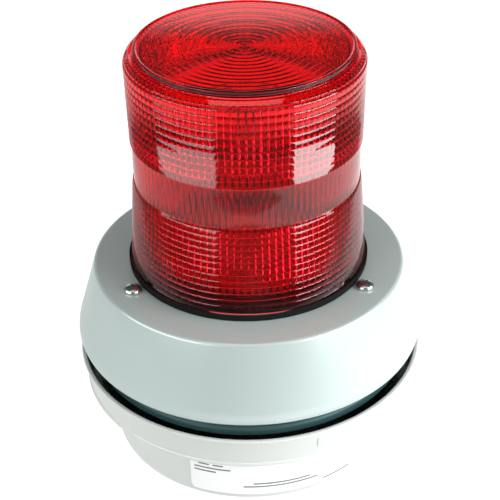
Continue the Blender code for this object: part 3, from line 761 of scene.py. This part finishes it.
def build_tray():
    """A cup that hangs by its rim in the canopy's bore."""
    r, low, top = node_mm("strobe_tray")
    wall, bore, seat = 45.8, 43.8, top - 2.0
    profile = rounded([
        (0.0, low), (wall - 0.8, low, 0.8), (wall, low + 0.8, 0.6), (wall, seat, 0.4),
        (r - 0.3, seat, 0.3), (r, seat + 0.4, 0.3), (r, top - 0.3, 0.3), (r - 0.4, top, 0.3),
        (bore, top, 0.4), (bore, low + 2, 0.8), (0.0, low + 2),
    ])
    shell = turned(profile, 160, closed=False)
    add("tray_shell", shell, LOOKS["black_plastic"], "base", "strobe_tray")


def build_tube_plate():
    """A shallow dished plate round the tube, with a bright film on its upper side."""
    r, low, top = node_mm("tube_plate")
    bore, crown, slope, brim, thick = 13.0, 16.0, 28.0, 42.0, 1.2
    profile = rounded([
        (bore, top - 1.0), (bore, top, 0.2), (crown, top, 2), (slope, top - 3.0, 20), (brim, low + thick, 3),
        (r - 0.3, low + thick, 0.2), (r, low + 0.9, 0.2), (r, low, 0.2), (brim, low, 3),
        (slope, top - 3.0 - thick, 20), (crown, top - thick, 2), (bore, top - thick),
    ])
    add("dished_plate", turned(profile, 160), LOOKS["black_plastic"], "base", "tube_plate")
    film_thick = 0.12
    film = rounded([
        (bore + 0.2, top + 0.02), (crown - 0.1, top + 0.03, 1), (slope - 0.1, top - 2.95, 20),
        (brim - 0.5, low + 1.35),
    ])
    back = [(r, z + film_thick) for r, z in reversed(film)]
    add("reflector_film", turned(film + back, 160), LOOKS["vacuum_metal"], "base", ())


def build_flash_tube():
    """A U of quartz tube whose ends stand in metal ferrules."""
    low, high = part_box("flash_tube")
    centre = (low + high) / 2
    tube_r = (high.y - low.y) / 2
    half = (high.x - low.x) / 2 - tube_r
    bend = high.z - tube_r - half
    path = [Vector((centre.x - half, centre.y, low.z))]
    steps = 24
    for i in range(steps + 1):
        turn = math.pi * (1 - i / steps)
        path.append(Vector((centre.x + half * math.cos(turn), centre.y, bend + half * math.sin(turn))))
    path.append(Vector((centre.x + half, centre.y, low.z)))
    add("tube_glass", swept(path, tube_r, 24), LOOKS["quartz_glass"], "base", "flash_tube")
    ferrule = rounded([(0.0, -0.2), (3.6, -0.2, 0.2), (3.6, 5.0, 0.5), (3.05, 6.0), (3.02, 0.2)])
    for name, side in (("tube_ferrule_left", -1), ("tube_ferrule_right", 1)):
        add(name, turned(ferrule, 40, closed=False), LOOKS["zinc_steel"], "base", (),
            at=(centre.x + side * half, centre.y, low.z))


def build_socket():
    """A stepped ceramic holder under the tube."""
    r, low, top = node_mm("tube_socket")
    neck = r - 1.2
    profile = rounded([
        (0.0, low), (r, low, 0.3), (r, top - 9, 0.2), (neck, top - 8.6, 0.2), (neck, top - 1.0, 0.8),
        (r - 2.4, top, 0.6), (0.0, top),
    ])
    ceramic = turned(profile, 64, closed=False)
    add("socket_ceramic", ceramic, LOOKS["steatite"], "base", "tube_socket")


def dress_cad_nodes():
    """Softens and finishes the CAD nodes that are shown as they are."""
    slots = {part["node"]: part["material_slot"] for part in frame["record"]["subparts"]}
    for name, ob in frame["nodes"].items():
        if ob.hide_render:
            continue
        ob.data.materials.clear()
        ob.data.materials.append(LOOKS[slots[name]])
        bevel = ob.modifiers.new("Edge", "BEVEL")
        bevel.width, bevel.segments, bevel.limit_method = 0.00015, 2, "ANGLE"
        bevel.angle_limit = math.radians(40)


# ---------------------------------------------------------------- studio


def build_world():
    """A dim room, with a bright backdrop behind that ends a little above the object."""
    world = bpy.data.worlds.new("studio")
    bpy.context.scene.world = world
    world.use_nodes = True
    tree = world.node_tree
    place = tree.nodes.new("ShaderNodeTexCoord")
    way = tree.nodes.new("ShaderNodeSeparateXYZ")
    tree.links.new(place.outputs["Generated"], way.inputs["Vector"])
    below = map_range(tree, way.outputs["Z"], 1.0, 0.0, *BACKDROP_TOP, smooth=True)
    behind = map_range(tree, way.outputs["Y"], BACKDROP_LEAST, 1.0, *BACKDROP_SIDES, smooth=True)
    mix = tree.nodes.new("ShaderNodeMix")
    mix.data_type = "RGBA"
    mix.inputs["A"].default_value = ROOM
    mix.inputs["B"].default_value = BACKDROP
    tree.links.new(math_node(tree, "MULTIPLY", below, behind), mix.inputs["Factor"])
    tree.links.new(mix.outputs["Result"], tree.nodes["Background"].inputs["Color"])


def floor_look():
    """A pale floor that glows evenly where it is seen.

    Its light on the object is graded instead: strong near the object, weak in front of it and far out,
    and a little stronger on the right.
    """
    look = Look("floor", (0.3, 0.305, 0.3), 0.0, 0.8)
    look.vary_roughness(look.noise(3), 0.75, 0.85)
    tree = look.tree
    spot = tree.nodes.new("ShaderNodeSeparateXYZ")
    tree.links.new(look.place.outputs["Object"], spot.inputs["Vector"])
    ray = tree.nodes.new("ShaderNodeLightPath")
    depth = map_range(tree, spot.outputs["Y"], FLOOR_FAR, FLOOR_NEAR, *FLOOR_FRONT, smooth=True)
    side = map_range(tree, spot.outputs["X"], GLOW_LEFT, GLOW_RIGHT, *FLOOR_SIDES, smooth=True)
    outward = math_node(tree, "ABSOLUTE", spot.outputs["X"])
    reach = map_range(tree, outward, 1.0, GLOW_OUTSIDE, *FLOOR_REACH, smooth=True)
    gloss = map_range(tree, ray.outputs["Is Glossy Ray"], 1.0, FLOOR_GLOSS, smooth=True)
    graded = math_node(tree, "MULTIPLY", depth, math_node(tree, "MULTIPLY", side, reach))
    seen = math_node(tree, "MAXIMUM", ray.outputs["Is Camera Ray"], ray.outputs["Is Transmission Ray"])
    glow = tree.nodes.new("ShaderNodeMix")
    glow.inputs["B"].default_value = FLOOR_SEEN
    tree.links.new(seen, glow.inputs["Factor"])
    tree.links.new(math_node(tree, "MULTIPLY", graded, gloss), glow.inputs["A"])
    look.shader.inputs["Emission Color"].default_value = (0.98, 0.985, 0.98, 1.0)
    tree.links.new(glow.outputs["Result"], look.shader.inputs["Emission Strength"])
    return look.mat


def build_floor():
    bm = bmesh.new()
    bmesh.ops.create_grid(bm, x_segments=4, y_segments=4, size=4.0)
    mesh = bpy.data.meshes.new("floor")
    bm.to_mesh(mesh)
    bm.free()
    mesh.materials.append(floor_look())
    floor = bpy.data.objects.new("floor", mesh)
    floor.location.z = CAD_BOUNDS[0][2] - 0.0002
    bpy.context.scene.collection.objects.link(floor)


def build_lights():
    for name, (at, size, power) in LIGHTS.items():
        light = bpy.data.lights.new(name, "AREA")
        light.shape = "RECTANGLE"
        light.size, light.size_y = size
        light.energy = power
        ob = bpy.data.objects.new(name, light)
        ob.location = at
        ob.rotation_euler = (LIGHT_AIM - Vector(at)).to_track_quat("-Z", "Y").to_euler()
        bpy.context.scene.collection.objects.link(ob)


def build_camera():
    camera = bpy.data.cameras.new("camera")
    camera.sensor_width = 36
    camera.lens = CAMERA_LENS
    camera.clip_start = 0.01
    ob = bpy.data.objects.new("camera", camera)
    tilt = Matrix.Rotation(math.radians(90 - CAMERA_PITCH), 4, "X")
    roll = Matrix.Rotation(math.radians(CAMERA_ROLL), 4, "Z")
    ob.matrix_world = Matrix.Translation(CAMERA_AT) @ tilt @ roll
    bpy.context.scene.collection.objects.link(ob)
    bpy.context.scene.camera = ob


def main():
    for build in (
        build_lens, build_lens_gasket, build_canopy, build_flare, build_base, build_mount_gasket,
        build_label, build_flange_mark, build_screws, build_tray, build_tube_plate, build_flash_tube,
        build_socket, dress_cad_nodes, build_world, build_floor, build_lights, build_camera,
    ):
        build()
    bpy.context.scene.view_settings.view_transform = "Standard"


main()
